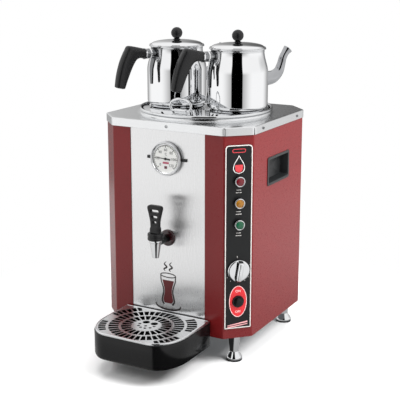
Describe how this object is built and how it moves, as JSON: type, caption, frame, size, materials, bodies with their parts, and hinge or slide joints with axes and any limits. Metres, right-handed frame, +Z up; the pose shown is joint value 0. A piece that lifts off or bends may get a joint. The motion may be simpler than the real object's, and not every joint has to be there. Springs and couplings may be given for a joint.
{
  "type": "hot water urn",
  "caption": "Commercial hot water urn with an octagonal painted casing, a lever tap over a drip tray, side controls and teapots standing on the boiler lid.",
  "frame": {"origin": "on the floor under the middle of the casing's footprint, level with the rubber pads", "axes": "+Z up, -Y out of the face with the tap, +X to the right as one faces the tap"},
  "size_m": [0.3588, 0.513, 0.675],
  "materials": {
    "casing_paint": "gloss",
    "panel_steel": "brushed",
    "cover_steel": "satin",
    "base_steel": "satin",
    "tank_steel": "satin",
    "mineral_wool": "matte",
    "element_metal": "satin",
    "brass": "satin",
    "seal_rubber": "matte",
    "ceramic_body": "matte",
    "copper_tube": "satin",
    "fixing_steel": "satin",
    "knob_chrome": "gloss",
    "black_plastic": "matte",
    "rocker_plastic": "gloss",
    "red_legend": "gloss",
    "control_black": "satin",
    "lens_red": "gloss",
    "lens_amber": "gloss",
    "lens_green": "gloss",
    "foot_chrome": "gloss",
    "pad_rubber": "matte",
    "tap_chrome": "gloss",
    "rosette_plastic": "gloss",
    "tap_black": "satin",
    "seat_silicone": "matte",
    "bezel_steel": "satin",
    "dial_white": "matte",
    "clear_glass": "gloss",
    "pointer_black": "matte",
    "tray_plastic": "satin",
    "grille_steel": "gloss",
    "lid_steel": "gloss",
    "bail_chrome": "gloss",
    "pot_steel": "gloss",
    "handle_plastic": "satin"
  },
  "bodies": {
    "urn": {"outer_casing": "casing_paint", "front_panel": "panel_steel", "top_cover": "cover_steel", "base_plate": "base_steel", "boiler_tank": "tank_steel", "tank_insulation": "mineral_wool", "tank_stand": "base_steel", "heating_element": "element_metal", "element_nut": "brass", "seal_washers": "seal_rubber", "thermostat_body": "ceramic_body", "thermostat_sensor": "copper_tube", "switch_body": "black_plastic", "switch_plate": "red_legend", "control_plate": "control_black", "lamp_housings": "black_plastic", "lens_red": "lens_red", "lens_amber": "lens_amber", "lens_green": "lens_green", "cable_gland": "black_plastic", "handle_cup_right": "black_plastic", "handle_cup_left": "black_plastic", "feet": "foot_chrome", "foot_pads": "pad_rubber", "foot_studs": "fixing_steel", "cover_screws": "fixing_steel", "tap_body": "tap_chrome", "tap_rosette": "rosette_plastic", "tap_nuts": "brass", "tap_bonnet": "tap_black", "tap_spring": "fixing_steel", "thermometer_case": "bezel_steel", "thermometer_dial": "dial_white", "thermometer_glass": "clear_glass", "thermometer_clamp": "black_plastic", "tray_bracket": "base_steel"},
    "tap_valve": {"tap_stem": "fixing_steel", "tap_seat": "seat_silicone", "lever_pin": "fixing_steel"},
    "tap_lever": {"tap_lever": "tap_black"},
    "thermostat_dial": {"thermostat_knob": "knob_chrome", "thermostat_spindle": "fixing_steel"},
    "rocker": {"switch_rocker": "rocker_plastic"},
    "pointer": {"thermometer_pointer": "pointer_black"},
    "boiler_lid": {"boiler_lid": "lid_steel"},
    "bail": {"lid_bail": "bail_chrome"},
    "drip_basin": {"drip_basin": "tray_plastic"},
    "drip_grille": {"drip_grille": "grille_steel"},
    "teapot_left": {"teapot_left_body": "pot_steel", "teapot_left_spout": "pot_steel", "teapot_left_bracket": "pot_steel", "teapot_left_handle": "handle_plastic"},
    "teapot_left_lid": {"teapot_left_lid": "pot_steel", "teapot_left_knob": "handle_plastic"},
    "teapot_right": {"teapot_right_body": "pot_steel", "teapot_right_spout": "pot_steel", "teapot_right_bracket": "pot_steel", "teapot_right_handle": "handle_plastic"},
    "teapot_right_lid": {"teapot_right_lid": "pot_steel", "teapot_right_knob": "handle_plastic"}
  },
  "joints": [
    {"name": "tap_stem_lift", "type": "slide", "parent": "urn", "child": "tap_valve", "axis": [0, 0, 1], "range_m": [0, 0.0036], "stiffness_N_per_m": 800, "springref_m": -0.003, "deforming": ["tap_spring"]},
    {"name": "tap_lever_tilt", "type": "hinge", "parent": "tap_valve", "child": "tap_lever", "pos_m": [0, -0.212, 0.2845], "axis": [1, 0, 0], "range_deg": [0, 31]},
    {"name": "thermostat_turn", "type": "hinge", "parent": "urn", "child": "thermostat_dial", "pos_m": [0.15438, -0.14438, 0.2035], "axis": [0.7071, -0.7071, 0], "range_deg": [-270, 0]},
    {"name": "switch_tilt", "type": "hinge", "parent": "urn", "child": "rocker", "pos_m": [0.15558, -0.14558, 0.137], "axis": [0.7071, 0.7071, 0], "range_deg": [-16, 0]},
    {"name": "pointer_turn", "type": "hinge", "parent": "urn", "child": "pointer", "pos_m": [0, -0.1702, 0.4235], "axis": [0, 1, 0], "range_deg": [-4, 176]},
    {"name": "boiler_lid_lift", "type": "slide", "parent": "urn", "child": "boiler_lid", "axis": [0, 0, 1], "range_m": [0, 0.06]},
    {"name": "bail_swing", "type": "hinge", "parent": "boiler_lid", "child": "bail", "pos_m": [0, -0.108, 0.5135], "axis": [1, 0, 0], "range_deg": [-80, 80]},
    {"name": "teapot_left_lift", "type": "slide", "parent": "boiler_lid", "child": "teapot_left", "axis": [0, 0, 1], "range_m": [0, 0.06]},
    {"name": "teapot_right_lift", "type": "slide", "parent": "boiler_lid", "child": "teapot_right", "axis": [0, 0, 1], "range_m": [0, 0.06]},
    {"name": "teapot_left_lid_lift", "type": "slide", "parent": "teapot_left", "child": "teapot_left_lid", "axis": [0, 0, 1], "range_m": [0, 0.05]},
    {"name": "teapot_right_lid_lift", "type": "slide", "parent": "teapot_right", "child": "teapot_right_lid", "axis": [0, 0, 1], "range_m": [0, 0.05]},
    {"name": "drip_basin_lift", "type": "slide", "parent": "urn", "child": "drip_basin", "axis": [0, 0, 1], "range_m": [0, 0.01]},
    {"name": "drip_grille_lift", "type": "slide", "parent": "drip_basin", "child": "drip_grille", "axis": [0, 0, 1], "range_m": [0, 0.03]}
  ],
  "couplings": [
    {"joint": "tap_lever_tilt", "follows": "tap_stem_lift", "rad_per_m": 145.3}
  ]
}
